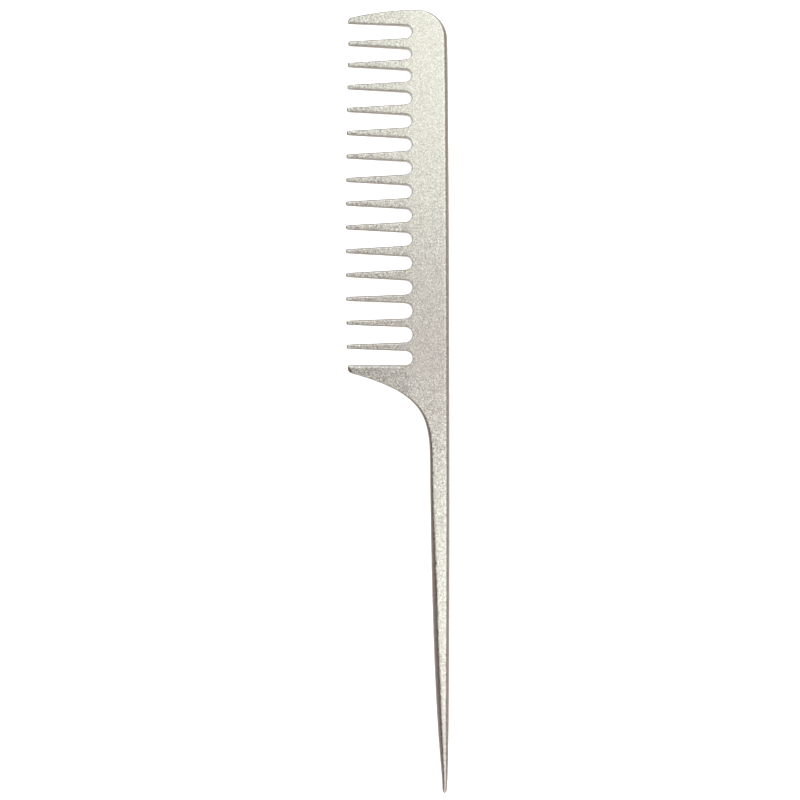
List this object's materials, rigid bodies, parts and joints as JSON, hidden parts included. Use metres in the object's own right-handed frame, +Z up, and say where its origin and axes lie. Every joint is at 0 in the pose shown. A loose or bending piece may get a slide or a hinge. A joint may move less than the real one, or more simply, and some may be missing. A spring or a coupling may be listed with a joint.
{
  "type": "grooming comb",
  "caption": "Flat metal rat-tail grooming comb: wide-set tapered teeth with round gullets, a thick guard at each end of the row and a slender tail handle.",
  "frame": {"origin": "middle of the underside of the bounding box, on the surface that the comb lies on", "axes": "+Y along the comb, from the tail's tip towards the nose; +Z up, square to the flat faces; the teeth point to -X"},
  "size_m": [0.0312, 0.235, 0.003],
  "materials": {
    "steel": "satin, fine bead-blasted grain"
  },
  "bodies": {
    "root": {"comb": "steel"}
  },
  "joints": []
}
